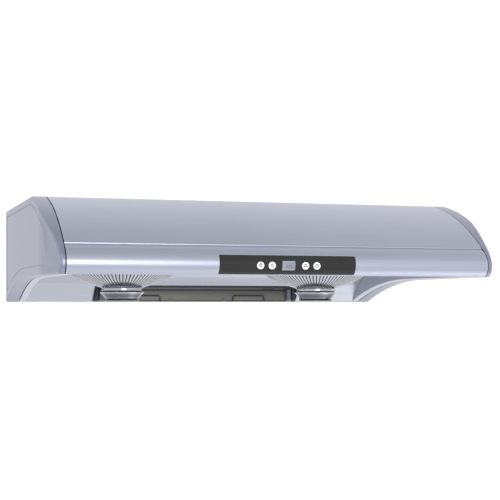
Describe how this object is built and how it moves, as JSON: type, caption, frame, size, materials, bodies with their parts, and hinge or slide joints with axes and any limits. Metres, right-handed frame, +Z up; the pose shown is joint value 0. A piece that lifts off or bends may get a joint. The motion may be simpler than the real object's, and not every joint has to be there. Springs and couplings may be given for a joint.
{
  "type": "under cabinet range hood",
  "caption": "Under cabinet range hood with curved canopy, push-button panel, conical fan grilles over squirrel cage blowers, oil cups, and a round duct collar with damper flaps.",
  "frame": {"origin": "middle of the bounding box at the height of the lowest edge, where the side panels meet the wall", "axes": "+X to the viewer's right along the width, +Y towards the wall, +Z up to the cabinet"},
  "size_m": [0.762, 0.57, 0.176],
  "materials": {
    "brushed_steel": "long brushed, cool grey",
    "cap_paint": "satin silver grey",
    "galvanised": "dull zinc sheet",
    "polished_steel": "polished",
    "black_gloss": "dark grey gloss",
    "white_plastic": "satin white",
    "display_glass": "pale blue grey window",
    "dark_plastic": "dark blue grey",
    "tray_paint": "satin warm grey",
    "circuit_board": "green solder mask",
    "aluminium": "cast, matte",
    "frosted_lens": "frosted"
  },
  "bodies": {
    "hood": {"top_panel": "brushed_steel", "back_panel": "galvanised", "end_cap_left": "cap_paint", "end_cap_right": "cap_paint", "canopy_panel": "brushed_steel", "front_fascia": "brushed_steel", "control_panel": "black_gloss", "display_window": "display_glass", "display_module": "dark_plastic", "control_board": "circuit_board", "control_housing": "galvanised", "ceiling_panel": "brushed_steel", "front_rail": "brushed_steel", "rear_cove": "brushed_steel", "side_liner_left": "brushed_steel", "side_liner_right": "brushed_steel", "recess_frame": "dark_plastic", "rear_access_cover": "tray_paint", "cover_handle_left": "dark_plastic", "cover_handle_right": "dark_plastic", "access_screw_left": "polished_steel", "access_screw_right": "polished_steel", "lamp_housing_left": "aluminium", "lamp_housing_right": "aluminium", "lamp_lens_left": "frosted_lens", "lamp_lens_right": "frosted_lens", "blower_housing_left": "galvanised", "blower_housing_right": "galvanised", "blower_cover_left": "galvanised", "blower_cover_right": "galvanised", "motor_left": "aluminium", "motor_right": "aluminium", "capacitor_left": "aluminium", "capacitor_right": "aluminium", "duct_plenum": "galvanised", "duct_collar": "galvanised", "damper_pin": "polished_steel", "junction_box": "galvanised", "junction_cover": "galvanised", "cable_bushing": "dark_plastic"},
    "button_power": {"button_power": "white_plastic"},
    "button_light": {"button_light": "white_plastic"},
    "button_fan_speed": {"button_fan_speed": "white_plastic"},
    "button_timer": {"button_timer": "white_plastic"},
    "fan_left": {"impeller_left": "galvanised", "motor_shaft_left": "polished_steel"},
    "grille_left": {"cone_grille_left": "polished_steel", "grille_ring_left": "polished_steel"},
    "cup_left": {"oil_cup_left": "polished_steel"},
    "fan_right": {"impeller_right": "galvanised", "motor_shaft_right": "polished_steel"},
    "grille_right": {"cone_grille_right": "polished_steel", "grille_ring_right": "polished_steel"},
    "cup_right": {"oil_cup_right": "polished_steel"},
    "damper_front": {"damper_flap_front": "galvanised"},
    "damper_rear": {"damper_flap_rear": "galvanised"}
  },
  "joints": [
    {"name": "press_power", "type": "slide", "parent": "hood", "child": "button_power", "axis": [0, 1, 0], "range_m": [0, 0.0012], "stiffness_N_per_m": 400},
    {"name": "press_light", "type": "slide", "parent": "hood", "child": "button_light", "axis": [0, 1, 0], "range_m": [0, 0.0012], "stiffness_N_per_m": 400},
    {"name": "press_fan_speed", "type": "slide", "parent": "hood", "child": "button_fan_speed", "axis": [0, 1, 0], "range_m": [0, 0.0012], "stiffness_N_per_m": 400},
    {"name": "press_timer", "type": "slide", "parent": "hood", "child": "button_timer", "axis": [0, 1, 0], "range_m": [0, 0.0012], "stiffness_N_per_m": 400},
    {"name": "spin_fan_left", "type": "hinge", "parent": "hood", "child": "fan_left", "pos_m": [-0.1905, 0.1, 0.11], "axis": [0, 0, 1], "continuous": true},
    {"name": "unlock_grille_left", "type": "hinge", "parent": "hood", "child": "grille_left", "pos_m": [-0.1905, 0.1, 0.056], "axis": [0, 0, 1], "range_deg": [-25, 0]},
    {"name": "unlock_cup_left", "type": "hinge", "parent": "grille_left", "child": "cup_left", "pos_m": [-0.1905, 0.1, 0.02], "axis": [0, 0, 1], "range_deg": [-30, 0]},
    {"name": "spin_fan_right", "type": "hinge", "parent": "hood", "child": "fan_right", "pos_m": [0.1905, 0.1, 0.11], "axis": [0, 0, 1], "continuous": true},
    {"name": "unlock_grille_right", "type": "hinge", "parent": "hood", "child": "grille_right", "pos_m": [0.1905, 0.1, 0.056], "axis": [0, 0, 1], "range_deg": [0, 25]},
    {"name": "unlock_cup_right", "type": "hinge", "parent": "grille_right", "child": "cup_right", "pos_m": [0.1905, 0.1, 0.02], "axis": [0, 0, 1], "range_deg": [0, 30]},
    {"name": "open_damper_front", "type": "hinge", "parent": "hood", "child": "damper_front", "pos_m": [0, 0.185, 0.152], "axis": [1, 0, 0], "range_deg": [-75, 0]},
    {"name": "open_damper_rear", "type": "hinge", "parent": "hood", "child": "damper_rear", "pos_m": [0, 0.185, 0.152], "axis": [1, 0, 0], "range_deg": [0, 75]}
  ]
}
